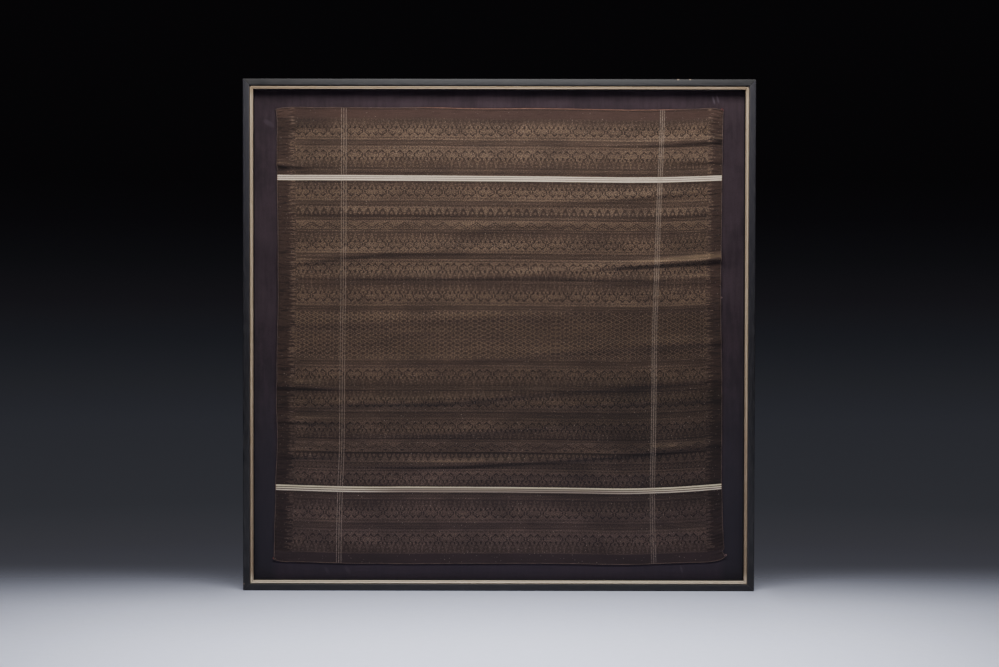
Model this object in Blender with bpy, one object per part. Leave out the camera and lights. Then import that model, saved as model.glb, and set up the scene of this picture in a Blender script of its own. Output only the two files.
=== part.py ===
"""Songket cloth stitched to a fabric-covered board in a deep black frame with a gilt slip.

Metres, +Z up. The frame stands on its bottom rail and its front faces -Y. The origin is on the
surface it stands on, under the middle of the frame.
"""

import bmesh
import bpy
import numpy as np

MM = 0.001

# Frame
FRAME_WIDTH = 1000 * MM
FRAME_HEIGHT = 1000 * MM
FRAME_DEPTH = 45 * MM
RAIL_FACE = 13.5 * MM
RAIL_WALL = 9.5 * MM
LIP_THICKNESS = 4 * MM
OUTER_BEVEL = 2 * MM
INNER_BEVEL = 0.5 * MM

# Gilt slip, seen between the rail's lip and its own inner edge
SLIP_REACH = 21 * MM
SLIP_BACK = 9 * MM
RIB_CREST = 3.0 * MM
RIB_WIDTH = 2.6 * MM
GROOVE_WIDTH = 0.9 * MM
SLIP_FLAT = 4.7 * MM

# Spacer strip and mount board, as distances behind the frame's front
SPACER_REACH = 19.8 * MM
BOARD_FRONT = 25 * MM
BOARD_THICKNESS = 6 * MM
BOARD_ROUNDING = 1 * MM

# Clearance between pieces that touch
SEAT = 0.3 * MM

# Cloth
CLOTH_THICKNESS = 1.2 * MM
CLOTH_BEHIND = 0.6 * MM
BROAD_WAVE = 0.5 * MM
CELLS_ACROSS = 22
CELLS_UP = 120

# Where lines of the weave lie in the frame. Woven heights run from 0 at the cloth's bottom edge
# to 1 at its top, woven positions across run from 0 at its left edge to 1 at its right.
# Weft lines: height in mm at each station across
WEFT_STATIONS = (0.0, 0.15, 0.30, 0.50, 0.70, 0.80, 0.90, 1.0)
WEFT_LINES = {
    # woven height: bottom edge, lower stripe, middle, upper stripe, top edge
    0.0000: (58.6, 51.8, 51.8, 51.4, 49.8, 49.8, 51.8, 61.6),
    0.1616: (200.6, 196.7, 196.3, 196.3, 194.3, 193.1, 196.3, 203.0),
    0.5000: (501.5, 499.5, 499.5, 499.1, 497.1, 496.6, 498.5, 503.4),
    0.8422: (808.2, 807.4, 806.6, 805.5, 803.5, 802.7, 803.9, 807.0),
    1.0000: (946.3, 949.2, 949.2, 946.9, 944.3, 943.3, 944.9, 943.3),
}

# Warp lines: position in mm at each woven height, for the left edge, the two groups of fine
# vertical lines and the right edge
WARP_STATIONS = (0.0, 0.150, 0.852, 1.0)
WARP_LINES = {
    0.0000: (-444.8, -314.6, 301.8, 437.9),
    0.1616: (-441.9, -312.4, 302.0, 436.9),
    0.5000: (-438.9, -307.7, 304.4, 435.0),
    0.7000: (-436.9, -306.9, 309.3, 434.0),
    0.8422: (-438.9, -306.6, 316.2, 435.6),
    1.0000: (-439.9, -306.2, 320.3, 437.3),
}

# Corners pulled out of the rectangle, in mm
CORNER_COLUMNS = ("across", "up", "move_x", "move_z", "reach")
CORNER_PULLS = (
    (0.0, 0.0, 1.5, 2.0, 22),
    (1.0, 0.0, 9.0, 5.0, 20),
    (0.0, 1.0, 2.0, -4.0, 14),
    (1.0, 1.0, 1.5, -2.5, 14),
)

# Long folds, which run from edge to edge: the crest's height and its rise from the board at six
# even stations across, and how far the fold reaches above and below its crest, in mm
FOLD_STATIONS = (0.0, 0.2, 0.4, 0.6, 0.8, 1.0)
FOLD_COLUMNS = ("crest", "rise", "above", "below")
LONG_FOLDS = (
    ((912, 918, 920, 918, 914, 908), (1.5, 1.2, 0.6, 0.5, 1.0, 1.5), 14, 12),
    ((866, 868, 868, 868, 871, 880), (0.0, 0.0, 0.0, 0.2, 1.0, 2.4), 10, 8),
    ((842, 844, 845, 844, 843, 845), (0.4, 1.0, 1.2, 1.0, 1.0, 1.4), 14, 10),
    ((745, 747, 749, 759, 769, 784), (0.0, 0.0, 0.0, 1.0, 3.0, 0.6), 12, 8),
    ((739, 739, 737, 729, 729, 741), (0.6, 1.5, 1.5, 0.6, 2.6, 1.2), 10, 8),
    ((694, 694, 706, 716, 714, 718), (0.0, 0.4, 1.4, 2.0, 1.2, 0.8), 12, 12),
    ((635, 659, 663, 663, 662, 660), (2.2, 3.6, 3.0, 1.2, 0.3, 0.0), 16, 8),
    ((613, 612, 613, 617, 608, 604), (1.0, 3.0, 3.2, 3.6, 2.2, 1.6), 12, 10),
    ((615, 615, 615, 623, 635, 647), (0.0, 0.0, 0.0, 0.4, 4.6, 8.5), 11, 7),
    ((521, 525, 531, 541, 549, 557), (2.2, 3.0, 2.6, 2.0, 2.0, 2.2), 14, 10),
    ((439, 443, 449, 462, 476, 486), (0.5, 1.6, 2.0, 2.3, 2.6, 4.5), 14, 9),
    ((358, 366, 370, 386, 399, 413), (1.5, 4.2, 4.6, 3.0, 3.0, 2.6), 13, 9),
    ((352, 354, 356, 360, 366, 374), (0.0, 0.0, 0.5, 1.5, 2.6, 2.6), 9, 8),
    ((301, 303, 307, 319, 323, 327), (0.5, 1.4, 3.0, 2.0, 1.2, 1.2), 11, 9),
    ((238, 242, 244, 252, 264, 284), (0.3, 1.4, 4.6, 3.6, 3.0, 2.4), 11, 7),
    ((223, 223, 223, 225, 223, 234), (0.0, 0.0, 0.4, 1.8, 1.4, 0.5), 9, 7),
    ((117, 121, 128, 140, 148, 152), (1.5, 0.8, 1.2, 1.4, 1.2, 0.8), 14, 10),
    ((95, 96, 97, 103, 109, 109), (0.0, 0.3, 0.6, 0.8, 1.4, 1.8), 10, 9),
)

# Short folds and diagonal pulls: the middle of the crest, half its length, its slope, its rise
# and its reach above and below, in mm
SHORT_COLUMNS = ("x", "z", "half_length", "slope", "rise", "above", "below")
SHORT_FOLDS = (
    (-425, 832, 43, -0.06, 4.2, 9, 7),
    (394, 839, 50, 0.02, 2.2, 9, 7),
    (-392, 399, 75, -0.03, 5.2, 13, 7),
    (-382, 331, 80, -0.03, 4.0, 11, 8),
    (-382, 262, 85, -0.02, 3.6, 16, 7),
    (300, 606, 24, 0.00, 2.0, 8, 7),
    (300, 574, 30, 0.00, 2.0, 8, 7),
    (394, 611, 40, 0.02, 2.5, 8, 7),
    (-146, 504, 70, 0.00, 1.8, 9, 8),
    (325, 276, 50, 0.04, 1.8, 8, 7),
    (374, 107, 80, -0.61, 2.0, 11, 11),
    (-392, 87, 55, 0.59, 2.0, 11, 11),
    (404, 912, 45, 0.70, 1.5, 11, 11),
    (-407, 918, 40, -0.70, 1.5, 11, 11),
)

# Sides of the frame, as the direction in which each faces outwards
SIDES = {"top": (0, 1), "bottom": (0, -1), "left": (-1, 0), "right": (1, 0)}


def clear_scene():
    """Empties the scene."""
    for item in list(bpy.data.objects):
        bpy.data.objects.remove(item, do_unlink=True)


def linear(red, green, blue):
    """Linear colour of a display colour given from 0 to 255."""
    share = np.array([red, green, blue]) / 255
    low = share / 12.92
    high = ((share + 0.055) / 1.055) ** 2.4
    return tuple(np.where(share <= 0.04045, low, high)) + (1.0,)


def make_material(name, colour, roughness, metallic=0.0):
    """Plain Principled material."""
    material = bpy.data.materials.new(name)
    material.use_nodes = True
    shader = material.node_tree.nodes["Principled BSDF"]
    shader.inputs["Base Color"].default_value = linear(*colour)
    shader.inputs["Roughness"].default_value = roughness
    shader.inputs["Metallic"].default_value = metallic
    return material


def add_object(name, mesh, material):
    """Links a mesh into the scene under its sub-part's name."""
    part = bpy.data.objects.new(name, mesh)
    bpy.context.scene.collection.objects.link(part)
    mesh.materials.append(material)
    return part


def place_in_frame(side, along, inward, depth):
    """Point on a side of the frame: along it from its middle, inwards from the frame's outer edge
    and back from the frame's front."""
    out_x, out_z = SIDES[side]
    half_width = FRAME_WIDTH / 2
    half_height = FRAME_HEIGHT / 2
    x = out_x * (half_width - inward) + abs(out_z) * along
    z = half_height + out_z * (half_height - inward) + abs(out_x) * along
    return (x, depth - FRAME_DEPTH / 2, z)


def mitred_bar(name, side, section, material):
    """Bar along one side of the frame, with a section of (inward, depth) points. Its ends lie on
    the frame's diagonals, each drawn back by half the clearance between two pieces."""
    half_span = (FRAME_WIDTH if side in ("top", "bottom") else FRAME_HEIGHT) / 2
    draw_back = SEAT / 2 * np.sqrt(2)
    bm = bmesh.new()
    ends = []
    for way in (-1, 1):
        ring = []
        for inward, depth in section:
            along = way * (half_span - inward - draw_back)
            ring.append(bm.verts.new(place_in_frame(side, along, inward, depth)))
        ends.append(bm.faces.new(ring))
    loops = [edge for end in ends for edge in end.edges]
    bmesh.ops.bridge_loops(bm, edges=loops)
    bmesh.ops.recalc_face_normals(bm, faces=bm.faces)
    mesh = bpy.data.meshes.new(name)
    bm.to_mesh(mesh)
    bm.free()
    return add_object(name, mesh, material)


def rail_section():
    """Outer bar with a front lip over the rabbet that takes slip, spacer and board."""
    return (
        (0, FRAME_DEPTH),
        (0, OUTER_BEVEL),
        (OUTER_BEVEL, 0),
        (RAIL_FACE - INNER_BEVEL, 0),
        (RAIL_FACE, INNER_BEVEL),
        (RAIL_FACE, LIP_THICKNESS),
        (RAIL_WALL, LIP_THICKNESS),
        (RAIL_WALL, FRAME_DEPTH),
    )


def slip_section():
    """Flat strip under the lip whose visible part swells into two ribs with a groove between."""
    under_lip = LIP_THICKNESS + SEAT
    inner_rib = SLIP_REACH - RIB_WIDTH
    outer_rib = inner_rib - GROOVE_WIDTH - RIB_WIDTH
    shoulder = RIB_WIDTH / 4
    return (
        (RAIL_WALL + SEAT, SLIP_BACK),
        (RAIL_WALL + SEAT, under_lip),
        (RAIL_FACE + SEAT, under_lip),
        (outer_rib, SLIP_FLAT),
        (outer_rib + shoulder, RIB_CREST),
        (outer_rib + RIB_WIDTH - shoulder, RIB_CREST),
        (outer_rib + RIB_WIDTH, SLIP_FLAT),
        (inner_rib, SLIP_FLAT),
        (inner_rib + shoulder, RIB_CREST),
        (SLIP_REACH - shoulder, RIB_CREST),
        (SLIP_REACH, SLIP_FLAT),
        (SLIP_REACH, SLIP_BACK),
    )


def spacer_section():
    """Plain strip between the slip and the board."""
    return (
        (RAIL_WALL + SEAT, SLIP_BACK + SEAT),
        (SPACER_REACH, SLIP_BACK + SEAT),
        (SPACER_REACH, BOARD_FRONT - SEAT),
        (RAIL_WALL + SEAT, BOARD_FRONT - SEAT),
    )


def mount_board(material):
    """Flat board in the rabbet behind the spacers, with slightly rounded edges."""
    inset = RAIL_WALL + SEAT
    size = (FRAME_WIDTH - 2 * inset, BOARD_THICKNESS, FRAME_HEIGHT - 2 * inset)
    middle = (0, BOARD_FRONT + BOARD_THICKNESS / 2 - FRAME_DEPTH / 2, FRAME_HEIGHT / 2)
    bm = bmesh.new()
    bmesh.ops.create_cube(bm, size=1)
    bmesh.ops.scale(bm, vec=size, verts=bm.verts)
    bmesh.ops.translate(bm, vec=middle, verts=bm.verts)
    bmesh.ops.bevel(bm, geom=bm.edges[:], offset=BOARD_ROUNDING, segments=2, profile=0.5, affect="EDGES")
    mesh = bpy.data.meshes.new("mount_board")
    bm.to_mesh(mesh)
    bm.free()
    return add_object("mount_board", mesh, material)


def smooth_between(stations, values, at):
    """Smooth curve through the values at the stations: a cubic on each stretch, whose slope at a
    station is that of its neighbours."""
    stations = np.asarray(stations, float)
    values = np.asarray(values, float)
    slopes = np.gradient(values, stations)
    at = np.clip(at, stations[0], stations[-1])
    start = np.clip(np.searchsorted(stations, at, side="right") - 1, 0, len(stations) - 2)
    gap = stations[start + 1] - stations[start]
    t = (at - stations[start]) / gap
    ease = t * t * (3 - 2 * t)
    leaving = t * (1 - t) ** 2 * gap * slopes[start]
    arriving = t * t * (t - 1) * gap * slopes[start + 1]
    return values[start] * (1 - ease) + values[start + 1] * ease + leaving + arriving


def lines_of_weave(stations, lines, along, level):
    """Reads a table of weave lines at a place along them, and between them at a level."""
    levels = np.array(list(lines))
    found = np.array([smooth_between(stations, row, along) for row in lines.values()])
    below = np.clip(np.searchsorted(levels, level, side="right") - 1, 0, len(levels) - 2)
    share = (level - levels[below]) / (levels[below + 1] - levels[below])
    ease = share + 0.5 * share * (1 - share) * (1 - 2 * share)
    columns = np.arange(len(level))
    return (found[below, columns] * (1 - ease) + found[below + 1, columns] * ease) * MM


def fold_rise(across, x, z):
    """How far the cloth stands off the board. Each fold is a bell across its crest line, narrower
    below than above, and the long ones swell and fade from edge to edge."""
    rise = BROAD_WAVE * (1 + np.sin(x * 9.0 + z * 4.0) * np.cos(z * 13.0 - x * 2.5))
    for row in LONG_FOLDS:
        fold = dict(zip(FOLD_COLUMNS, row))
        off = z - smooth_between(FOLD_STATIONS, fold["crest"], across) * MM
        swell = np.clip(smooth_between(FOLD_STATIONS, fold["rise"], across), 0, None) * MM
        reach = np.where(off > 0, fold["above"], fold["below"]) * MM
        rise += swell * np.exp(-((off / reach) ** 2))
    for row in SHORT_FOLDS:
        fold = dict(zip(SHORT_COLUMNS, row))
        from_middle = x - fold["x"] * MM
        off = z - fold["z"] * MM - fold["slope"] * from_middle
        reach = np.where(off > 0, fold["above"], fold["below"]) * MM
        fade = np.exp(-((from_middle / (fold["half_length"] * MM)) ** 2))
        rise += fold["rise"] * MM * fade * np.exp(-((off / reach) ** 2))
    return rise


def hang_cloth(across, up):
    """Place in the frame of woven positions on the cloth's back, as rows of x, y, z."""
    x = lines_of_weave(WARP_STATIONS, WARP_LINES, across, up)
    z = lines_of_weave(WEFT_STATIONS, WEFT_LINES, across, up)
    for row in CORNER_PULLS:
        pull = dict(zip(CORNER_COLUMNS, row))
        off_x = (across - pull["across"]) * (x.max() - x.min())
        off_z = (up - pull["up"]) * (z.max() - z.min())
        near = np.exp(-(off_x**2 + off_z**2) / (pull["reach"] * MM) ** 2)
        x = x + pull["move_x"] * MM * near
        z = z + pull["move_z"] * MM * near
    board = BOARD_FRONT - FRAME_DEPTH / 2
    y = board - CLOTH_BEHIND - fold_rise(across, x, z)
    return np.column_stack((x, y, z))


def songket_cloth(material):
    """One sheet: a grid laid over the weave, hung in its folds, and given its thickness forwards."""
    bm = bmesh.new()
    bmesh.ops.create_grid(bm, x_segments=CELLS_ACROSS, y_segments=CELLS_UP, size=0.5)
    mesh = bpy.data.meshes.new("songket_cloth")
    bm.to_mesh(mesh)
    bm.free()
    flat = np.empty(len(mesh.vertices) * 3)
    mesh.vertices.foreach_get("co", flat)
    woven = flat.reshape(-1, 3)[:, :2] + 0.5
    hung = hang_cloth(woven[:, 0], woven[:, 1])
    mesh.vertices.foreach_set("co", hung.ravel())
    mesh.shade_smooth()
    cloth = add_object("songket_cloth", mesh, material)
    thick = cloth.modifiers.new("thickness", "SOLIDIFY")
    thick.thickness = CLOTH_THICKNESS
    thick.offset = 1
    return cloth


def main():
    """Builds every piece."""
    clear_scene()
    black_wood = make_material("black_wood", (40, 38, 41), 0.45)
    gilt = make_material("gilt", (188, 170, 146), 0.35, 0.6)
    black_spacer = make_material("black_spacer", (20, 18, 21), 0.7)
    aubergine = make_material("aubergine_fabric", (52, 43, 50), 0.9)
    brown_gold = make_material("brown_and_gold_weave", (74, 58, 46), 0.6)
    for side in SIDES:
        mitred_bar(f"rail_{side}", side, rail_section(), black_wood)
        mitred_bar(f"slip_{side}", side, slip_section(), gilt)
        mitred_bar(f"spacer_{side}", side, spacer_section(), black_spacer)
    mount_board(aubergine)
    songket_cloth(brown_gold)


main()
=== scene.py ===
"""Songket cloth in a deep black frame: the looks of every piece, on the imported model's frame.

Metres, +Z up, the cloth faces -Y. Woven positions run from 0 to 1 across the cloth from its left
edge and up it from its bottom edge.
"""

import math

import bpy
import numpy as np
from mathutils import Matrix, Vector


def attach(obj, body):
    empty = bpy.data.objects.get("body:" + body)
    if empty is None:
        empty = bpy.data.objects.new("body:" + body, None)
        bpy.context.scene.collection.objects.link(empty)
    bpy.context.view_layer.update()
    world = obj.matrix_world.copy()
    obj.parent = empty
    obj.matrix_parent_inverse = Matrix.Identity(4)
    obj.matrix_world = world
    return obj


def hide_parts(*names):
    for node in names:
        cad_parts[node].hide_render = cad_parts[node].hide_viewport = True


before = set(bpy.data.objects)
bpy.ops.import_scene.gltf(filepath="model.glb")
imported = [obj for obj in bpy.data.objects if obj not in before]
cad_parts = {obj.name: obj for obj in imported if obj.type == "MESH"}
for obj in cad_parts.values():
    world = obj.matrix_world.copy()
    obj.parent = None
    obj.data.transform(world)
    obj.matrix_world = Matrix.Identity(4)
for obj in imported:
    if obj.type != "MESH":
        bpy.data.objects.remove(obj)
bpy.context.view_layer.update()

MM = 0.001

# Sizes of the frame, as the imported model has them
FRAME_SIDE = 1000 * MM
FRAME_DEPTH = 45 * MM
RAIL_FACE = 13.5 * MM
RAIL_WALL = 9.5 * MM
LIP_THICKNESS = 4 * MM
SLIP_REACH = 21 * MM
SLIP_BACK = 9 * MM
SPACER_REACH = 19.8 * MM
BOARD_FRONT = 25 * MM
BOARD_THICKNESS = 6 * MM
SEAT = 0.3 * MM
DRAW_BACK = SEAT / 2 * math.sqrt(2)
SIDES = {"top": (0, 1), "bottom": (0, -1), "left": (-1, 0), "right": (1, 0)}

# Cloth as cut, and the grid that carries it
CLOTH_WIDTH = 0.877
CLOTH_HEIGHT = 0.895
CLOTH_THICKNESS = 0.6 * MM
CLOTH_BEHIND = 0.75 * MM
BROAD_WAVE = 0.5 * MM
CLOTH_TURN = math.radians(0.165)
CLOTH_MIDDLE = 0.5025
CLOTH_SHIFT = (0.85 * MM, 1.3 * MM)
COLUMNS_AT_EDGE = 12
EDGE_STRETCH = 0.045
ROWS_UP = 490


# Shapes

def smooth_between(stations, values, at):
    """Smooth curve through the values at the stations: a cubic on each stretch, whose slope at a
    station is that of its neighbours."""
    stations = np.asarray(stations, float)
    values = np.asarray(values, float)
    slopes = np.gradient(values, stations)
    at = np.clip(at, stations[0], stations[-1])
    start = np.clip(np.searchsorted(stations, at, side="right") - 1, 0, len(stations) - 2)
    gap = stations[start + 1] - stations[start]
    t = (at - stations[start]) / gap
    ease = t * t * (3 - 2 * t)
    leaving = t * (1 - t) ** 2 * gap * slopes[start]
    arriving = t * t * (t - 1) * gap * slopes[start + 1]
    return values[start] * (1 - ease) + values[start + 1] * ease + leaving + arriving


# Weft lines: their woven height, stations across and height in mm at each station. The first and
# the last are the cloth's bottom and top edges
EVEN_STATIONS = (0.0, 0.15, 0.30, 0.50, 0.70, 0.80, 0.90, 1.0)
WEFT_LINES = (
    (
        0.0,
        (0.0, 0.015, 0.04, 0.08, 0.13, 0.184, 0.237, 0.29, 0.344, 0.4, 0.5, 0.61, 0.665, 0.718,
         0.772, 0.825, 0.879, 0.932, 0.97, 0.985, 0.993, 1.0),
        (57.4, 54.0, 53.0, 52.4, 50.9, 49.5, 49.5, 48.7, 48.9, 49.2, 49.1, 49.1, 48.5, 47.5,
         46.5, 47.1, 49.1, 50.8, 52.2, 54.6, 57.2, 62.4),
    ),
    (0.1616, EVEN_STATIONS, (201.2, 197.1, 196.3, 195.3, 193.1, 191.8, 194.9, 201.6)),
    (0.5, EVEN_STATIONS, (501.5, 499.5, 499.5, 499.1, 497.1, 496.6, 498.5, 503.4)),
    (0.8422, EVEN_STATIONS, (809.2, 808.3, 807.4, 806.1, 803.9, 803.0, 804.1, 807.2)),
    (
        1.0,
        (0.0, 0.015, 0.04, 0.08, 0.135, 0.24, 0.35, 0.40, 0.457, 0.51, 0.565, 0.62, 0.67,
         0.726, 0.78, 0.834, 0.888, 0.94, 0.975, 1.0),
        (942.9, 945.5, 946.9, 946.3, 946.3, 945.3, 945.7, 944.3, 943.3, 943.3, 943.7, 943.1, 942.4,
         941.4, 940.4, 940.6, 941.4, 942.6, 943.5, 940.2),
    ),
)

# Warp lines: the same the other way round. The first and the last are the selvedges, the two
# between them the middles of the groups of pale warp lines
WARP_LINES = (
    (
        0.0,
        (0.0, 0.024, 0.0765, 0.129, 0.182, 0.235, 0.287, 0.34, 0.3925, 0.445, 0.498, 0.5505, 0.603,
         0.656, 0.7085, 0.761, 0.8137, 0.919, 0.98, 0.992, 1.0),
        (-445.3, -444.3, -443.3, -441.3, -440.8, -437.8, -437.1, -438.9, -438.0, -437.8, -436.6,
         -435.1, -434.8, -434.7, -434.7, -435.2, -436.0, -436.0, -436.0, -436.9, -438.5),
    ),
    (
        0.15,
        (0.0, 0.0765, 0.1616, 0.235, 0.34, 0.42, 0.5, 0.6, 0.7, 0.8422, 1.0),
        (-317.2, -316.2, -313.8, -310.8, -309.5, -308.9, -307.8, -306.9, -306.4, -306.5, -306.2),
    ),
    (
        0.852,
        (0.0, 0.0765, 0.1616, 0.28, 0.42, 0.5, 0.6, 0.7, 0.77, 0.8422, 0.92, 1.0),
        (302.2, 299.8, 299.1, 301.0, 302.6, 303.4, 306.2, 309.3, 311.6, 314.2, 317.2, 319.5),
    ),
    (
        1.0,
        (0.0, 0.004, 0.008, 0.0125, 0.018, 0.03, 0.0765, 0.129, 0.182, 0.287, 0.3925, 0.445, 0.498,
         0.5505, 0.656, 0.7085, 0.8137, 0.919, 0.972, 1.0),
        (444.4, 443.1, 441.0, 438.7, 441.7, 441.1, 439.1, 438.1, 437.0, 437.2, 437.2, 436.8, 435.6,
         435.2, 435.2, 436.0, 437.0, 437.9, 438.7, 439.5),
    ),
)

# Long folds, which run from edge to edge: the crest's height and its rise from the board at six
# even stations across, and how far the fold reaches above and below its crest, in mm
FOLD_STATIONS = (0.0, 0.2, 0.4, 0.6, 0.8, 1.0)
FOLD_COLUMNS = ("crest", "rise", "above", "below")
LONG_FOLDS = (
    ((912, 918, 920, 918, 914, 908), (1.5, 1.2, 0.6, 0.5, 1.0, 1.5), 14, 12),
    ((866, 868, 868, 868, 872, 881), (0.0, 0.0, 0.0, 0.3, 2.0, 4.2), 10, 6),
    ((842, 844, 845, 844, 843, 845), (0.4, 1.0, 1.2, 1.0, 1.0, 1.4), 14, 9),
    ((745, 747, 749, 759, 769, 784), (0.0, 0.0, 0.0, 1.0, 3.0, 0.6), 12, 7),
    ((739, 739, 737, 729, 729, 741), (0.6, 1.5, 1.5, 0.6, 2.6, 1.2), 10, 7),
    ((694, 694, 706, 716, 714, 718), (0.0, 0.4, 1.4, 2.0, 1.2, 0.8), 12, 12),
    ((635, 659, 663, 663, 662, 660), (2.2, 3.6, 3.0, 1.2, 0.3, 0.0), 16, 7),
    ((613, 612, 613, 617, 608, 604), (1.0, 3.0, 3.2, 3.6, 2.2, 1.6), 12, 9),
    ((615, 615, 615, 623, 635, 647), (0.0, 0.0, 0.0, 0.4, 4.6, 8.5), 11, 5),
    ((521, 525, 531, 541, 549, 557), (2.2, 3.0, 2.6, 2.0, 2.0, 2.2), 14, 10),
    ((439, 443, 449, 462, 476, 486), (0.5, 1.6, 2.0, 2.3, 2.6, 4.5), 14, 8),
    ((358, 366, 370, 386, 399, 413), (1.5, 4.2, 4.6, 3.0, 3.0, 2.6), 13, 8),
    ((352, 354, 356, 360, 366, 374), (0.0, 0.0, 0.5, 1.5, 2.6, 2.6), 9, 7),
    ((301, 303, 307, 319, 323, 327), (0.5, 1.4, 3.0, 2.0, 1.2, 1.2), 11, 8),
    ((238, 242, 244, 252, 264, 284), (0.3, 1.4, 4.6, 3.6, 3.0, 2.4), 11, 6),
    ((223, 223, 223, 225, 223, 234), (0.0, 0.0, 0.4, 1.8, 1.4, 0.5), 9, 6),
    ((117, 121, 128, 140, 148, 152), (1.5, 0.8, 1.2, 1.4, 1.2, 0.8), 14, 10),
    ((95, 96, 97, 103, 109, 109), (0.0, 0.3, 0.6, 0.8, 1.4, 1.8), 10, 9),
)

# Short folds and diagonal pulls: the middle of the crest, half its length, its slope, its rise
# and its reach above and below, in mm
SHORT_COLUMNS = ("x", "z", "half_length", "slope", "rise", "above", "below")
SHORT_FOLDS = (
    (-425, 832, 43, -0.06, 4.2, 9, 4),
    (394, 839, 50, 0.02, 2.2, 9, 6),
    (-392, 399, 75, -0.03, 5.2, 13, 6),
    (-382, 331, 80, -0.03, 4.0, 11, 7),
    (-382, 262, 85, -0.02, 3.6, 16, 6),
    (300, 606, 24, 0.00, 2.0, 8, 5),
    (300, 574, 30, 0.00, 2.0, 8, 6),
    (394, 611, 40, 0.02, 2.5, 8, 6),
    (-146, 504, 70, 0.00, 1.8, 9, 7),
    (325, 276, 50, 0.04, 1.8, 8, 6),
    (374, 107, 80, -0.61, 2.0, 11, 11),
    (-392, 87, 55, 0.59, 2.0, 11, 11),
    (404, 912, 45, 0.70, 1.5, 11, 11),
    (-407, 918, 40, -0.70, 1.5, 11, 11),
)

# Puckers along the selvedges, where the gold wefts turn round
PUCKER_PITCH = 7.6 * MM
PUCKER_RISE = 0.32 * MM
PUCKER_REACH = 17 * MM


def lines_of_weave(lines, along, level):
    """Reads a table of weave lines at a place along them, and between the two lines round a level."""
    levels = np.array([line[0] for line in lines])
    found = np.array([smooth_between(line[1], line[2], along) for line in lines])
    below = np.clip(np.searchsorted(levels, level, side="right") - 1, 0, len(levels) - 2)
    share = (level - levels[below]) / (levels[below + 1] - levels[below])
    columns = np.arange(len(level))
    return (found[below, columns] * (1 - share) + found[below + 1, columns] * share) * MM


def fold_rise(across, x, z):
    """How far the cloth stands off the board. Each fold is a bell across its crest line, narrower
    below than above, and the long ones swell and fade from edge to edge."""
    rise = BROAD_WAVE * (1 + np.sin(x * 9.0 + z * 4.0) * np.cos(z * 13.0 - x * 2.5))
    for row in LONG_FOLDS:
        fold = dict(zip(FOLD_COLUMNS, row))
        off = z - smooth_between(FOLD_STATIONS, fold["crest"], across) * MM
        swell = np.clip(smooth_between(FOLD_STATIONS, fold["rise"], across), 0, None) * MM
        reach = np.where(off > 0, fold["above"], fold["below"]) * MM
        rise += swell * np.exp(-((off / reach) ** 2))
    for row in SHORT_FOLDS:
        fold = dict(zip(SHORT_COLUMNS, row))
        from_middle = x - fold["x"] * MM
        off = z - fold["z"] * MM - fold["slope"] * from_middle
        reach = np.where(off > 0, fold["above"], fold["below"]) * MM
        fade = np.exp(-((from_middle / (fold["half_length"] * MM)) ** 2))
        rise += fold["rise"] * MM * fade * np.exp(-((off / reach) ** 2))
    return rise


def pucker_rise(across, up):
    """Small ripples that run in from both selvedges and die out where the pattern begins. Their
    spacing wanders a little on the way up."""
    from_edge = np.minimum(across, 1 - across) * CLOTH_WIDTH
    height = up * CLOTH_HEIGHT
    wander = 2.1 * np.sin(height * 31) + 1.7 * np.sin(height * 83 + 2)
    phase = 2 * math.pi * height / PUCKER_PITCH + wander + np.where(across > 0.5, 1.7, 0)
    fade = np.exp(-((from_edge / PUCKER_REACH) ** 2))
    return PUCKER_RISE * fade * (1 + np.sin(phase))


def hang_cloth(across, up):
    """Place in the frame of woven positions on the cloth's back, as rows of x, y, z."""
    x = lines_of_weave(WARP_LINES, up, across)
    z = lines_of_weave(WEFT_LINES, across, up)
    board = BOARD_FRONT - FRAME_DEPTH / 2
    settled = 1 - 0.75 * np.exp(-((up * CLOTH_HEIGHT / (10 * MM)) ** 2))
    y = board - CLOTH_BEHIND - (fold_rise(across, x, z) + pucker_rise(across, up)) * settled
    turned_x = x - CLOTH_TURN * (z - CLOTH_MIDDLE) + CLOTH_SHIFT[0]
    turned_z = z + CLOTH_TURN * x + CLOTH_SHIFT[1]
    return np.column_stack((turned_x, y, turned_z))


def grid_faces(columns, rows, ring=False):
    """Four-sided faces of a grid whose points run along a row first, as rows of point numbers.
    A ring also joins each row's last point to its first."""
    across = columns if ring else columns - 1
    start = np.arange(across)
    step = (start + 1) % columns
    base = np.arange(rows - 1)[:, None] * columns
    corners = (base + start, base + step, base + columns + step, base + columns + start)
    return np.stack(corners, axis=-1).reshape(-1, 4)


def put_in_scene(name, data):
    """New object of a name in the scene, made of a mesh, a lamp or a camera."""
    made = bpy.data.objects.new(name, data)
    bpy.context.scene.collection.objects.link(made)
    return made


def lay_uv(mesh, name, places):
    """UV map of a name, from a place for each point of the mesh."""
    corner = np.empty(len(mesh.loops), np.int32)
    mesh.loops.foreach_get("vertex_index", corner)
    places = np.asarray(places, np.float32)[corner]
    mesh.uv_layers.new(name=name).data.foreach_set("uv", places.ravel())


def give_values(piece, name, values):
    """Values of a name for the piece's points, which its material reads."""
    attribute = piece.data.attributes.new(name, "FLOAT", "POINT")
    attribute.data.foreach_set("value", np.ravel(values).astype(np.float32))


def mesh_piece(name, points, faces, materials, uv=None, body="root", smooth=True):
    """Makes a piece from arrays of points and faces, with a place on the UV map for each point,
    and lets it ride on its body."""
    mesh = bpy.data.meshes.new(name)
    mesh.from_pydata(np.asarray(points).tolist(), [], [list(map(int, face)) for face in faces])
    for material in materials:
        mesh.materials.append(material)
    if uv is not None:
        lay_uv(mesh, "along", uv)
    if smooth:
        mesh.polygons.foreach_set("use_smooth", np.ones(len(mesh.polygons), bool))
    mesh.update()
    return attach(put_in_scene(name, mesh), body)


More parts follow.
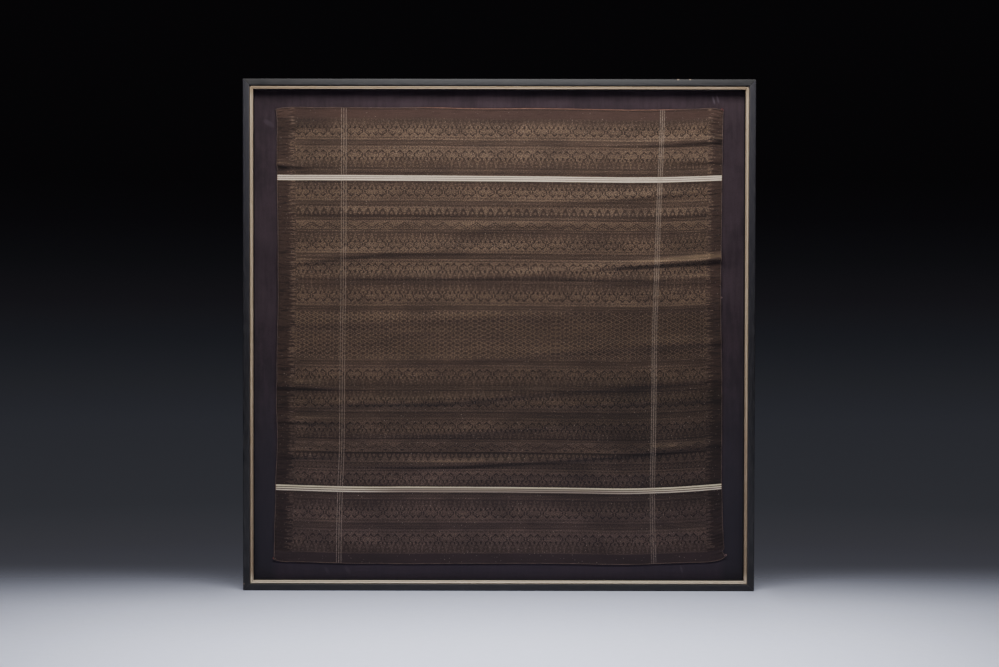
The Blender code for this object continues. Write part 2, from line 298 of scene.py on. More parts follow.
def round_corners(points, radii, steps=4):
    """Closed outline with each corner replaced by a curve that leaves one side and joins the next
    at the corner's radius."""
    points = np.asarray(points, float)
    before = np.roll(points, 1, axis=0) - points
    after = np.roll(points, -1, axis=0) - points
    before /= np.linalg.norm(before, axis=1)[:, None]
    after /= np.linalg.norm(after, axis=1)[:, None]
    share = np.linspace(0, 1, steps + 1)[None, :, None]
    radii = np.asarray(radii, float)[:, None]
    start = (points + before * radii)[:, None]
    end = (points + after * radii)[:, None]
    corner = points[:, None]
    curve = start * (1 - share) ** 2 + corner * 2 * share * (1 - share) + end * share**2
    return curve.reshape(-1, 2)


def along_side(side, along, inward, depth):
    """Point on a side of the frame: along it from its middle, inwards from the frame's outer edge
    and back from the frame's front."""
    out_x, out_z = SIDES[side]
    half = FRAME_SIDE / 2
    x = out_x * (half - inward) + abs(out_z) * along
    z = half + out_z * (half - inward) + abs(out_x) * along
    return np.column_stack((x.ravel(), (depth - FRAME_DEPTH / 2).ravel(), z.ravel()))


def bar_along_side(name, side, section, stations, unevenness, material, edges=None):
    """Mitred bar: its section carried along one side of the frame between the two diagonals. The
    front wavers by the unevenness. Its UV map gives metres along the bar and around its section."""
    share = np.concatenate(([-1], np.linspace(-0.9996, 0.9996, stations - 2), [1]))[:, None]
    inward, depth = section[:, 0][None, :], section[:, 1][None, :]
    along = share * (FRAME_SIDE / 2 - inward - DRAW_BACK)
    turn = list(SIDES).index(side)
    waver = np.sin(along * 23 + turn * 1.9) + 0.6 * np.sin(along * 61 + turn * 2.7)
    front = np.clip(1 - depth / LIP_THICKNESS, 0, 1)
    deep = depth + unevenness * waver * front * (1 - share**20)
    points = along_side(side, along, inward + 0 * share, np.maximum(deep, 0))
    around = np.concatenate(([0], np.cumsum(np.linalg.norm(np.diff(section, axis=0), axis=1))))
    uv = np.column_stack((
        (along + FRAME_SIDE / 2).ravel(),
        (around[None, :] + 0 * share).ravel(),
    ))
    count = len(section)
    faces = grid_faces(count, stations, ring=True).tolist()
    faces.append(list(range(count)))
    faces.append(list(range((stations - 1) * count, stations * count))[::-1])
    out_x, out_z = SIDES[side]
    if out_x + -out_z > 0:
        faces = [face[::-1] for face in faces]
    piece = mesh_piece(name, points, faces, [material], uv)
    for polygon in piece.data.polygons[-2:]:
        polygon.use_smooth = False
    if edges is not None:
        give_values(piece, "edge", np.tile(edges, stations))
    return piece


# Materials

class Link:
    """A socket in a material, written in Python sums: each sum adds its Math node."""

    def __init__(self, tree, socket=None):
        self.tree = tree
        self.socket = socket

    def node(self, kind, settings, inputs, output=0):
        """Adds any node: its settings first, then the values or links of its sockets."""
        made = self.tree.nodes.new(kind)
        stops = settings.pop("stops", None)
        for key, value in settings.items():
            target = made.color_ramp if key == "interpolation" and stops else made
            setattr(target, key, value)
        for index, (place, colour) in enumerate(stops or ()):
            ramp = made.color_ramp.elements
            stop = ramp[index] if index < 1 else ramp.new(place)
            stop.position = place
            stop.color = colour
        if stops:
            ramp.remove(ramp[len(stops)])
        for key, value in inputs.items():
            if isinstance(value, Link):
                self.tree.links.new(value.socket, made.inputs[key])
            else:
                made.inputs[key].default_value = value
        return Link(self.tree, made.outputs[output])

    def maths(self, operation, *values):
        return self.node("ShaderNodeMath", {"operation": operation}, dict(enumerate(values)))

    def __add__(self, other):
        return self.maths("ADD", self, other)

    def __radd__(self, other):
        return self.maths("ADD", other, self)

    def __sub__(self, other):
        return self.maths("SUBTRACT", self, other)

    def __rsub__(self, other):
        return self.maths("SUBTRACT", other, self)

    def __mul__(self, other):
        return self.maths("MULTIPLY", self, other)

    def __rmul__(self, other):
        return self.maths("MULTIPLY", other, self)

    def __truediv__(self, other):
        return self.maths("DIVIDE", self, other)

    def __gt__(self, other):
        return self.maths("GREATER_THAN", self, other)

    def __lt__(self, other):
        return self.maths("LESS_THAN", self, other)

    def __mod__(self, other):
        return self.maths("FLOORED_MODULO", self, other)

    def __abs__(self):
        return self.maths("ABSOLUTE", self)

    def floor(self):
        return self.maths("FLOOR", self)

    def between(self, low, high):
        """1 above low and below high, otherwise 0."""
        return (self > low) * (self < high)

    def larger(self, other):
        return self.maths("MAXIMUM", self, other)

    def zigzag(self):
        """Goes from 0 to 1 and back to 0 in every 2."""
        return self.maths("PINGPONG", self, 1.0)

    def ramp(self, low, high):
        """Rises smoothly from 0 at low to 1 at high."""
        settings = {"interpolation_type": "SMOOTHSTEP"}
        return self.node("ShaderNodeMapRange", settings, {0: self, 1: low, 2: high})

    def near(self, place, reach):
        """1 at a place, falling smoothly to 0 at the reach on both sides of it."""
        return abs(self - place).ramp(reach, 0.0)

    def read_off(self, interpolation, stops, output=0):
        """Colour that a ramp of stops has at this value, or its alpha as output 1."""
        settings = {"interpolation": interpolation, "stops": stops}
        return self.node("ShaderNodeValToRGB", settings, {0: self}, output)


def sheet_of_nodes(name):
    """New material with its shader, as (material, start of a chain of nodes)."""
    material = bpy.data.materials.new(name)
    material.use_nodes = True
    return material, Link(material.node_tree)


def mixed(low, high, share):
    """Colour between two colours, each a link or a display colour from 0 to 255."""
    chain = share if isinstance(share, Link) else low
    low, high = (colour if isinstance(colour, Link) else shade(*colour) for colour in (low, high))
    return chain.node("ShaderNodeMix", {"data_type": "RGBA"}, {0: share, 6: low, 7: high}, 2)


def coats(colour, *layers):
    """Colour with thin coats laid over it one after another, each a colour and its share."""
    for coat, share in layers:
        colour = mixed(colour, coat, share)
    return colour


def noise(chain, vector, scale, detail=2.0, roughness=0.5):
    """Smooth random value about 0.5."""
    inputs = {"Vector": vector, "Scale": scale, "Detail": detail, "Roughness": roughness}
    return chain.node("ShaderNodeTexNoise", {}, inputs)


def vector_of(x, y, z=0.0):
    """Joins three values to one vector. The first is a link."""
    return x.node("ShaderNodeCombineXYZ", {}, {0: x, 1: y, 2: z})


def grained(x, y, detail, roughness=0.5, z=0.0):
    """Smooth random value about 0.5 that changes with each 1 of its values. The first is a link."""
    return noise(x, vector_of(x, y, z), 1.0, detail, roughness)


def split(vector):
    """The three values of a vector."""
    return [vector.node("ShaderNodeSeparateXYZ", {}, {0: vector}, index) for index in range(3)]


def values_on_piece(chain, name):
    """The piece's own values of a name, one for each point."""
    return chain.node("ShaderNodeAttribute", {"attribute_name": name}, {}, 2)


def object_place(chain):
    """Place in metres, counted as the frame's sizes are."""
    return chain.node("ShaderNodeTexCoord", {}, {}, 3)


def place_on_piece(chain):
    """The piece's own UV map."""
    return chain.node("ShaderNodeUVMap", {"uv_map": "along"}, {})


def finish(chain, colour, roughness, height=None, depth=0.001, metallic=None, **constants):
    """Feeds the shader: what varies by links, what is the same all over on its own socket."""
    shader = chain.tree.nodes["Principled BSDF"]
    varying = {"Base Color": colour, "Roughness": roughness, "Metallic": metallic}
    for name, value in varying.items():
        if isinstance(value, Link):
            chain.tree.links.new(value.socket, shader.inputs[name])
        elif value is not None:
            shader.inputs[name].default_value = value
    for name, value in constants.items():
        shader.inputs[name.replace("_", " ").title().replace("Ior", "IOR")].default_value = value
    if height is not None:
        bump = chain.node("ShaderNodeBump", {}, {"Strength": 1.0, "Distance": depth, "Height": height})
        chain.tree.links.new(bump.socket, shader.inputs["Normal"])


def shade(red, green, blue):
    """Linear colour of a display colour given from 0 to 255."""
    share = np.array([red, green, blue]) / 255
    linear = np.where(share <= 0.04045, share / 12.92, ((share + 0.055) / 1.055) ** 2.4)
    return (*linear.tolist(), 1.0)


# The weave. A chart holds one half of a repeat, one letter for each gold float, o where the gold
# shows and a dot where the ground does. Mirrored across, the halves make the whole repeat.
HOOKS = """
    o..........o
    o...ooo....o
    o...ooo....o
    o..........o
    oo........oo
    oo...oo...oo
    oo..oooo..oo
    ooo..oo..ooo
    ooo......ooo
    oooo....oooo
    .oooo..oooo.
    .oooo..oooo.
    ..ooo...ooo.
    .oooooo...oo
    oooooooooo.o
    ooooooooo..o
    ooooooooo..o
    oooooo.ooo.o
    ooooo.ooo..o
    o..oooo..ooo
    oo..o...oooo
    ooo....ooooo
    oooo..oooooo
    oooooooooooo
    .ooooo.oooo.
    ..ooo...ooo.
    oooooooooooo
    oooooooooooo
"""
SHOOTS = """
    oooooooooooo
    oooooooooooo
    ooooo..ooooo
    oooo....oooo
    oooo....oooo
    ooo......ooo
    ooo......ooo
    oo...oo...oo
    oo..oooo..oo
    oo..oooo..oo
    o....oo....o
    o..........o
    ............
"""
ZIGZAG = """
    oooooooooooo
    oooooooooooo
    oooooooooooo
    oooooooooo..
    ooooooooo..o
    ooooooo..ooo
    oooooo..ooo.
    oooo..ooo..o
    ooo..ooo..oo
    ...ooo..oooo
    .ooo..oooo.o
    oo..oooooooo
    o.oooooooooo
    oo.oooooo...
    oooooooooo..
    ooooooooooo.
    oooooooooooo
"""
LATTICE = """
    oo........oo
    .ooo....ooo.
    ...oo..oo...
    ....oooo....
    ...oo..oo...
    .ooo....ooo.
    oo...oo...oo
    .ooo....ooo.
    ...oo..oo...
    o...oooo...o
    ...oo..oo...
    .ooo....ooo.
"""
DOTS = """
    oo..oooo..oo
"""
CHARTS = {
    "hooks": HOOKS.split(), "shoots": SHOOTS.split(), "zigzag": ZIGZAG.split(),
    "lattice": LATTICE.split(), "dots": DOTS.split(),
}
CHART_COLUMNS = 12

# The pattern's edges, its tufts' upper end and the lattice band, in mm across and in mm up
PATTERN_START, PATTERN_END = 37.3, 846.5
PATTERN_FOOT, PATTERN_HEAD = 21.6, 872.0
TUFTS_HEAD = 868.0
LATTICE_FOOT, LATTICE_HEAD = 402.1, 493.9

# Where the half repeats begin, in mm across: the count is even at the middle of a heart and odd at
# the stem between two. It is uneven, and breaks off where the weaver began a new unit
REPEAT_MARKS = (
    (0, -1.1), (34, 1), (50.5, 2), (68, 3), (85.5, 4), (101.5, 5), (118, 6), (137, 7), (155, 8),
    (172, 9), (188, 10), (201.4, 10.85), (201.7, 12.15), (209, 12.5), (218, 13), (235, 14),
    (251.5, 15), (267.9, 16), (268.2, 15), (283, 16), (295, 17), (311, 18), (327.5, 19),
    (342.5, 20), (358.5, 21), (375, 22), (392.5, 23), (410.5, 24), (428.5, 25), (447, 26),
    (464.5, 27), (482, 28), (498.5, 29), (515.5, 30), (531, 31), (547.5, 32), (552.7, 32.33),
    (558, 32), (574, 33), (591, 34), (606.5, 35), (623.5, 36), (640, 37), (657, 38), (673.5, 39),
    (690, 40), (706, 41), (721.5, 42), (737, 43), (752.5, 44), (768.5, 45), (784.5, 46), (800, 47),
    (816, 48), (832, 49), (848, 50), (877, 51.8),
)

# Bands of the weave from the top down: their edges in mm above the cloth's bottom edge, their
# chart, the first and last of its rows that show, and whether they stand on their heads
BAND_COLUMNS = ("top", "bottom", "chart", "first", "last", "flipped")
BANDS = (
    (874.1, 830.8, "hooks", 0, 28, False),
    (818.1, 774.8, "hooks", 0, 28, True),
    (747.7, 710.3, "hooks", 2, 28, False),
    (701.0, 699.0, "dots", 0, 1, False),
    (698.5, 680.0, "shoots", 0, 13, False),
    (671.5, 654.0, "zigzag", 0, 13, False),
    (646.6, 608.0, "hooks", 0, 28, False),
    (595.8, 553.7, "hooks", 0, 28, True),
    (548.5, 505.3, "hooks", 0, 28, False),
    (493.9, 402.1, "lattice", 13, 83, False),
    (388.2, 347.0, "hooks", 0, 28, True),
    (339.6, 298.6, "hooks", 0, 28, False),
    (284.2, 244.1, "hooks", 0, 28, True),
    (238.5, 218.5, "zigzag", 0, 17, False),
    (217.4, 197.8, "shoots", 0, 13, True),
    (196.2, 194.2, "dots", 0, 1, False),
    (188.8, 186.4, "dots", 0, 1, False),
    (184.8, 150.5, "hooks", 5, 28, True),
    (123.7, 81.0, "hooks", 0, 28, False),
    (66.4, 21.6, "hooks", 0, 28, True),
)

# Lines across the whole pattern: woven height, half the thickness and strength. Gold lines stand
# out, dark ones are mostly bare ground beside them, and those at 740.0 and 745.2 darken the band
# below the upper cream stripe
GOLD_LINES = (
    (831.6, 1.0, 1.0), (817.3, 1.1, 1.0), (770.5, 1.0, 0.8), (711.0, 1.0, 0.9), (704.5, 0.8, 0.5),
    (675.8, 0.8, 0.7), (650.9, 1.1, 1.0), (608.7, 1.0, 0.9), (594.9, 0.9, 0.8), (552.0, 1.1, 0.9),
    (505.8, 1.0, 1.0), (495.6, 0.9, 0.6), (490.6, 0.8, 0.5), (443.6, 0.8, 0.5), (399.5, 1.0, 0.9),
    (387.9, 1.0, 0.9), (343.0, 0.9, 0.8), (303.8, 0.8, 0.7), (298.6, 0.9, 0.7), (284.6, 1.0, 0.9),
    (240.8, 1.1, 0.9), (220.0, 0.9, 0.8), (205.4, 1.0, 0.8), (199.2, 1.1, 1.0), (191.0, 0.9, 0.6),
    (184.0, 1.0, 0.9), (126.6, 1.1, 1.0), (86.0, 0.8, 0.6), (80.2, 0.9, 0.8), (66.2, 1.0, 0.9),
    (21.0, 1.0, 0.8),
)
DARK_LINES = (
    (835.2, 0.9, 0.4), (828.8, 1.2, 0.8), (820.2, 1.2, 0.9), (773.2, 1.4, 0.9), (764.0, 2.6, 0.9),
    (745.2, 2.8, 1.0), (740.0, 2.0, 0.5), (708.0, 1.0, 0.7), (700.0, 1.4, 0.7), (679.0, 1.4, 1.0),
    (673.0, 1.0, 0.8), (653.2, 0.9, 0.7), (647.7, 1.2, 0.9), (605.6, 1.1, 0.8), (598.0, 1.2, 0.9),
    (591.3, 0.9, 0.5), (556.4, 1.4, 1.0), (546.6, 1.3, 0.8), (502.8, 1.0, 0.8), (498.0, 1.1, 0.9),
    (493.2, 0.9, 0.6), (441.0, 1.0, 0.6), (395.9, 1.1, 0.8), (390.8, 0.9, 0.6), (385.7, 1.0, 0.7),
    (349.0, 1.1, 0.8), (338.9, 1.3, 1.0), (301.2, 0.9, 0.6), (295.4, 1.2, 0.9), (281.9, 0.9, 0.6),
    (244.3, 1.2, 0.9), (238.7, 0.9, 0.7), (216.4, 1.6, 1.0), (195.5, 1.2, 0.6), (187.4, 1.1, 0.6),
    (181.8, 0.9, 0.7), (152.0, 1.5, 1.0), (136.0, 1.6, 1.0), (122.7, 1.1, 0.7), (115.2, 0.9, 0.5),
    (83.8, 0.8, 0.7), (77.7, 0.9, 0.7), (68.6, 0.9, 0.6), (63.7, 0.9, 0.6), (12.2, 1.2, 0.5),
    (3.4, 1.2, 0.9), (891.6, 1.3, 1.0),
)

# Cream stripes: middle height, then mm off the middle, colour (0 to 255) and how much it covers
CREAM, PALE, PINKISH = (214, 200, 168), (230, 210, 186), (214, 196, 176)
SHADED, GAP = (122, 104, 90), (62, 48, 38)
WHITE_STRIPES = (
    (754.0, (
        (-5.5, GAP, 0.0), (-5.0, PALE, 1.0), (-2.7, PALE, 1.0), (-2.4, SHADED, 1.0),
        (-1.3, SHADED, 1.0), (-1.0, PALE, 1.0), (1.2, PALE, 1.0), (1.5, GAP, 1.0),
        (2.4, GAP, 1.0), (2.7, PALE, 1.0), (4.8, PALE, 1.0), (5.3, GAP, 0.0),
    )),
    (144.3, (
        (-5.7, GAP, 0.0), (-5.1, PINKISH, 1.0), (-3.4, PINKISH, 1.0), (-3.0, GAP, 1.0),
        (-1.7, GAP, 1.0), (-1.3, PINKISH, 1.0), (0.6, CREAM, 1.0), (1.0, GAP, 1.0), (2.3, GAP, 1.0),
        (2.7, CREAM, 1.0), (5.1, CREAM, 1.0), (5.7, GAP, 0.0),
    )),
)
WARP_LINE_GROUPS = ((131.5, 4.6), (748.4, 4.1))


def chart_codes():
    """All charts under each other, each row as two numbers: the bits of its left and its right six
    letters over 64. Also the row number at which each chart starts; row 0 is plain ground."""
    starts, codes = {}, [(0.0, 0.0)]
    for name, rows in CHARTS.items():
        starts[name] = len(codes)
        for row in rows:
            bits = row.replace("o", "1").replace(".", "0")
            half = CHART_COLUMNS // 2
            codes.append((int(bits[:half], 2) / 2**half, int(bits[half:], 2) / 2**half))
    return starts, codes


def row_of_chart(height):
    """Number of the chart's row that a woven height falls in."""
    starts, _ = chart_codes()
    total = 0.0
    for values in BANDS:
        band = dict(zip(BAND_COLUMNS, values))
        rows = band["last"] - band["first"]
        per_mm = rows / (band["top"] - band["bottom"])
        if band["flipped"]:
            row = (height - band["bottom"]) * per_mm
        else:
            row = (band["top"] - height) * per_mm
        inside = row.between(0.0, float(rows))
        row = row + float(band["first"])
        if band["chart"] == "lattice":
            row = row % float(len(CHARTS["lattice"]))
        total = total + inside * (row.floor() + float(starts[band["chart"]]))
    return total


def gold_of_chart(repeat, height):
    """1 where a gold float shows, 1 in a band, and a share of 1 in the rows that are paler. The
    row's code comes from ramps of at most 30 rows, and the column's bit is read out of it."""
    starts, codes = chart_codes()
    row = row_of_chart(height)
    most = 30
    left, right = 0.0, 0.0
    for first in range(0, len(codes), most):
        block = codes[first:first + most]
        stops = [(index / len(block), (*code, 0.0, 1.0)) for index, code in enumerate(block)]
        at = (row - float(first) + 0.5) / float(len(block))
        inside = at.between(0.0, 1.0)
        looked = at.read_off("CONSTANT", stops)
        red, green, _ = split(looked)
        left = left + inside * red
        right = right + inside * green
    half = float(CHART_COLUMNS // 2)
    mirrored = repeat.zigzag()
    column = (mirrored * (CHART_COLUMNS - 0.001)).floor()
    on_right = column > (half - 0.5)
    code = (left * (1 - on_right) + right * on_right) * 2.0**half
    place = half - 1.0 - (column - half * on_right)
    shifted = (code / place.maths("POWER", 2.0, place) + 0.001).floor()
    bit = (shifted % 2.0) > 0.5
    hooks = row.between(0.5, 10.5) + row.between(24.5, 26.5)
    shoots = row.between(starts["shoots"] - 0.5, starts["zigzag"] - 0.5)
    lattice = row > float(starts["lattice"]) - 0.5
    return bit, row > 0.5, hooks + 0.45 * shoots + 0.35 * lattice


def line_strength(height, lines):
    """Sum of the strengths of a table of lines that a woven height falls on, read from ramps of at
    most seven lines."""
    total = 0.0
    most = 7
    lines = sorted(lines)
    for first in range(0, len(lines), most):
        block = lines[first:first + most]
        low, high = block[0][0] - 6.0, block[-1][0] + 6.0
        stops = []
        for place, half, strength in block:
            for off, value in ((-1.3, 0.0), (-0.6, strength), (0.6, strength), (1.3, 0.0)):
                share = (place + off * half - low) / (high - low)
                stops.append((share, (value, value, value, 1.0)))
        at = (height - low) / (high - low)
        total = total + at.read_off("LINEAR", stops)
    return total


def gold_tufts(across, height):
    """1 on the tapering tufts of gold beside the pattern, where the gold wefts turn round."""
    wander = grained(height * 0.21, across * 0.02, 3.0) * 15.0
    saw = ((height + wander) / 4.0).zigzag()
    reach = 0.5 + grained(height * 0.3, 4.0, 1.0)
    left_tip = (PATTERN_START - across) / 17.0 / reach
    right_tip = (across - PATTERN_END) / 15.0 / reach
    beyond = left_tip.larger(right_tip)
    inside = beyond < 0.0
    tuft = (1 - inside) * (beyond < 1.0) * (saw > (beyond * 0.8 + 0.15))
    shown = grained(height * 0.5, across * 0.2, 2.0).ramp(0.3, 0.65)
    return tuft * shown * height.between(PATTERN_FOOT, TUFTS_HEAD), inside


def songket_weave():
    """Brown ground with dull gold floats in charted bands, cream stripes and fine cream warp lines."""
    material, chain = sheet_of_nodes("songket_weave")
    place = place_on_piece(chain)
    facing = values_on_piece(chain, "facing")
    u, v, _ = split(place)
    across = u * (CLOTH_WIDTH * 1000)
    height = v * (CLOTH_HEIGHT * 1000)
    repeat, _, _ = split(chain.node("ShaderNodeUVMap", {"uv_map": "repeat"}, {}))
    drift = noise(chain, place, 9.0, 3.0)
    speckle = grained(across * 0.62, height * 0.62, 2.0, 0.6)
    streak = grained(across * 0.03, height * 1.1, 3.0, 0.6)
    slub = grained(across * 0.9, height * 0.25, 3.0)

    charted, in_band, paler = gold_of_chart(repeat, height)
    tufts, inside = gold_tufts(across, height)
    plain = (1 - in_band) * inside * height.between(PATTERN_FOOT, PATTERN_HEAD)
    fine_lines = (height / 1.45).zigzag().ramp(0.25, 0.75)
    woven = 0.08 + 0.24 * paler + (0.86 - 0.40 * paler) * charted
    gold = woven * in_band * inside + plain * (0.22 + 0.42 * fine_lines)
    gold = gold.larger(tufts * 0.85)
    along_line = grained(across * 0.03, height * 0.04, 3.0).ramp(0.25, 0.7)
    bright = line_strength(height, GOLD_LINES) * inside * (0.45 + 0.6 * along_line)
    dark = line_strength(height, DARK_LINES) * inside * (0.85 - 0.5 * along_line)
    gold = (gold * (1 - 0.9 * dark)).larger(bright)

    # Worn patches, where the gold has gone dull, and the sparkle of single floats
    worn = grained(across * 0.012, height * 0.03, 4.0, 0.6).ramp(0.36, 0.60)
    sparkle = speckle.ramp(0.30, 0.66)
    gold_shown = gold * (0.66 + 0.34 * worn) * (0.40 + 0.60 * sparkle)
    faint = height.ramp(846.0, 856.0) * across.ramp(118.0, 96.0)
    gold_shown = gold_shown * (1 + 0.6 * height.between(LATTICE_FOOT, LATTICE_HEAD))
    gold_shown = gold_shown * (1 - 0.6 * faint) * (1 - 0.6 * height.ramp(858.0, 873.0))

    edge_strip = height.ramp(870.0, 877.0)
    # Painted light: the cloth tinted bluer towards the bottom
    violet = height.ramp(360.0, 30.0) * 0.5
    outline = (1 - charted) * (1 - paler) * in_band * inside
    beside = across.ramp(48.0, 22.0) + across.ramp(836.0, 862.0)
    margin = beside * grained(across * 0.12, height * 0.5, 3.0).ramp(0.3, 0.6)
    drawn_in = grained(across * 0.04, height * 0.30, 3.0, 0.6, z=3.0)
    turned = across.near(31.0, 9.0) + across.near(850.0, 8.0)
    bottom_strip = height.ramp(23.0, 19.0)
    ground = coats(
        mixed((40, 28, 23), (49, 35, 29), drift.ramp(0.35, 0.65)),
        ((70, 50, 43), edge_strip * (0.5 + 0.6 * streak)),
        ((23, 16, 14), dark * 0.85),
        ((29, 21, 19), streak.ramp(0.45, 0.75) * 0.6),
        ((46, 27, 24), edge_strip * streak.ramp(0.52, 0.64) * 0.7),
        ((22, 14, 12), outline * 0.45),
        ((86, 63, 52), speckle.ramp(0.42, 0.72) * (0.6 - 0.3 * outline)),
        ((80, 60, 50), margin * 0.34),
        ((20, 13, 12), beside * drawn_in.ramp(0.50, 0.62) * 0.62),
        ((124, 102, 86), turned * drawn_in.ramp(0.49, 0.38) * 0.75),
        ((72, 56, 57), bottom_strip * (0.5 + 0.6 * speckle)),
        ((46, 34, 39), violet),
    )
    gold_colour = mixed((76, 58, 46), (152, 126, 103), speckle.ramp(0.36, 0.72))
    gold_colour = mixed(gold_colour, (122, 100, 96), violet)
    colour = mixed(ground, gold_colour, gold_shown)

    # Painted highlight on the fold slopes that face up, stronger where gold shows, and painted shade
    # on the slopes that face down
    lit, painted_fold_shade = facing.ramp(0.20, 0.62), facing.ramp(-0.06, -0.6)
    colour = coats(
        colour,
        ((190, 158, 122), lit * (0.14 + 0.36 * gold_shown)),
        ((16, 11, 10), painted_fold_shade * 0.5),
    )

    # Painted shade where less light falls: darkest towards the bottom, less at the lower right and the
    # top left, a little all over, with broad random patches of darker and lighter tone
    painted_shade_top_left = across.ramp(190.0, 60.0) * height.ramp(640.0, 840.0) * (1 - beside)
    painted_shade_lower_right = across.ramp(330.0, 760.0) * height.ramp(560.0, 420.0) * height.ramp(20.0, 160.0)
    patchy = grained(across * 0.008, height * 0.02, 3.0).ramp(0.3, 0.7)
    # Painted shade: the cloth darker towards the bottom, where less light falls
    painted_shade_low = height.ramp(400.0, 320.0)
    painted_shade_and_patches = painted_shade_top_left * 0.1 + painted_shade_lower_right * 0.20 + painted_shade_low * 0.28 + (patchy - 0.5) * 0.18 + 0.07
    colour = mixed(colour, (13, 9, 9), painted_shade_and_patches.larger(0.0))
    lint = grained(across * 0.42, height * 0.42, 0.0, z=7.0).ramp(0.79, 0.84)
    colour = mixed(colour, (168, 152, 136), lint * 0.6)

    # Cream stripes, each of three lines of thread
    wander = (slub - 0.5) * 0.9 + (drift - 0.5) * 1.2
    for middle, profile in WHITE_STRIPES:
        off = (height - middle + wander + 8.0) / 16.0
        stops = [((place + 8.0) / 16.0, (*shade(*tone)[:3], cover)) for place, tone, cover in profile]
        thread = off.read_off("LINEAR", stops)
        cover = off.read_off("LINEAR", stops, 1)
        thread = mixed(thread, (120, 104, 92), slub.ramp(0.50, 0.75) * 0.5)
        if middle < 200:
            dulled = across.ramp(150.0, 260.0) * across.ramp(860.0, 600.0) * height.ramp(147.6, 146.6)
            thread = mixed(thread, (98, 84, 74), dulled * 0.7)
        colour = mixed(colour, thread, cover)

    # Warp lines in two groups of three, beaded by the wefts that cross them
    warp = 0.0
    leaning = height.ramp(430.0, 880.0) * across.ramp(440.0, 430.0) * 1.9
    for middle, pitch in WARP_LINE_GROUPS:
        for step in (-1, 0, 1):
            warp = warp + (across - leaning).near(middle + step * pitch, 0.72)
    beads = grained(across * 0.5, height * 0.33, 2.0).ramp(0.30, 0.60)
    warp_shown = warp * (0.22 + 0.78 * beads) + across.near(748.4, 7.5) * beads * 0.14
    warp_shown = warp_shown * (1 - 0.9 * violet * across.ramp(690.0, 700.0))
    colour = mixed(colour, mixed((150, 133, 118), (160, 144, 134), violet), warp_shown)

    thread_up = (across / 0.62).zigzag()
    thread_across = (height / 0.7).zigzag()
    relief = gold * 0.5 + thread_up * 0.18 + thread_across * 0.22 + speckle * 0.5 + streak * 0.25
    roughness = 0.78 - 0.30 * gold_shown + 0.12 * (drift - 0.5)
    metallic = 0.5 * gold_shown
    finish(chain, colour, roughness, relief, 0.5 * MM, metallic,
           sheen_weight=0.05, sheen_roughness=0.5, specular_ior_level=0.25)
    return material


def hem_thread():
    """Reddish-brown rolled hem, ribbed by its stitches."""
    material, chain = sheet_of_nodes("hem_thread")
    along, around, _ = split(place_on_piece(chain))
    stitch = (along * 1000 / 0.9).zigzag()
    tone = grained(along * 60, around * 3.0, 3.0)
    x, _, z = split(object_place(chain))
    colour = mixed((62, 45, 38), (98, 76, 65), tone.ramp(0.35, 0.65))
    # Painted highlight: a brighter run along the top of the hem, where the light catches it
    lit_run = z.ramp(0.93, 0.94) * x.ramp(-0.18, -0.10) * x.ramp(0.37, 0.33)
    colour = mixed(colour, mixed((112, 74, 56), (146, 106, 84), tone.ramp(0.35, 0.65)), lit_run)
    finish(chain, colour, 0.75 + 0.1 * tone, stitch * 0.6 + tone, 0.3 * MM, sheen_weight=0.2)
    return material


# Pale smudges and lint on the fabric: x and z in metres, half the width and strength
MOUNT_SMUDGES = (
    (-0.338, 0.036, 0.005, 0.30), (-0.297, 0.037, 0.006, 0.30), (0.420, 0.962, 0.003, 1.0),
    (0.428, 0.964, 0.003, 0.8), (-0.452, 0.915, 0.010, 0.35), (0.360, 0.040, 0.003, 0.5),
)


def mount_fabric():
    """Dark aubergine fabric in plain weave, slightly mottled, with a few pale smudges."""
    material, chain = sheet_of_nodes("mount_fabric")
    place = object_place(chain)
    x, y, z = split(place)
    mottle = noise(chain, place, 14.0, 4.0, 0.6)
    fine = noise(chain, place, 900.0, 2.0)
    thread_up = (x * 1700).zigzag()
    thread_across = (z * 1700).zigzag()
    stretched = grained(x * 130, z * 16, 3.0, 0.6)
    colour = mixed((43, 33, 38), (63, 50, 55), (mottle * 0.6 + stretched * 0.4).ramp(0.3, 0.7))
    # Darker flecks, then painted light and shade: bluer low down, and darker low at the sides, where
    # less light falls
    colour = coats(
        colour,
        ((34, 25, 30), fine.ramp(0.45, 0.7) * 0.4),
        ((50, 44, 55), z.ramp(0.45, 0.05) * 0.6),
    )
    painted_shade_at_side = abs(x).ramp(0.43, 0.45) * z.ramp(0.6, 0.2)
    colour = mixed(colour, (34, 34, 40), painted_shade_at_side * 0.55)
    for smudge_x, smudge_z, long, strength in MOUNT_SMUDGES:
        off_x = (x - smudge_x) / long + (z - smudge_z) / 0.012
        off_z = (z - smudge_z) / 0.010
        away = off_x * off_x + off_z * off_z
        colour = mixed(colour, (104, 92, 100), away.ramp(1.0, 0.0) * mottle * strength * (y < 0.004))
    relief = thread_up * 0.3 + thread_across * 0.3 + fine * 0.5
    finish(chain, colour, 0.88 + 0.08 * (mottle - 0.5), relief, 0.25 * MM,
           sheen_weight=0.06, sheen_roughness=0.6, specular_ior_level=0.15)
    return material


# Chips in the black at the frame's outer edge: x and z in metres, and half the length
RAIL_CHIPS = ((0.3478, 0.9992, 0.0026), (0.3712, 0.9992, 0.0022), (-0.4985, 0.0135, 0.0016))


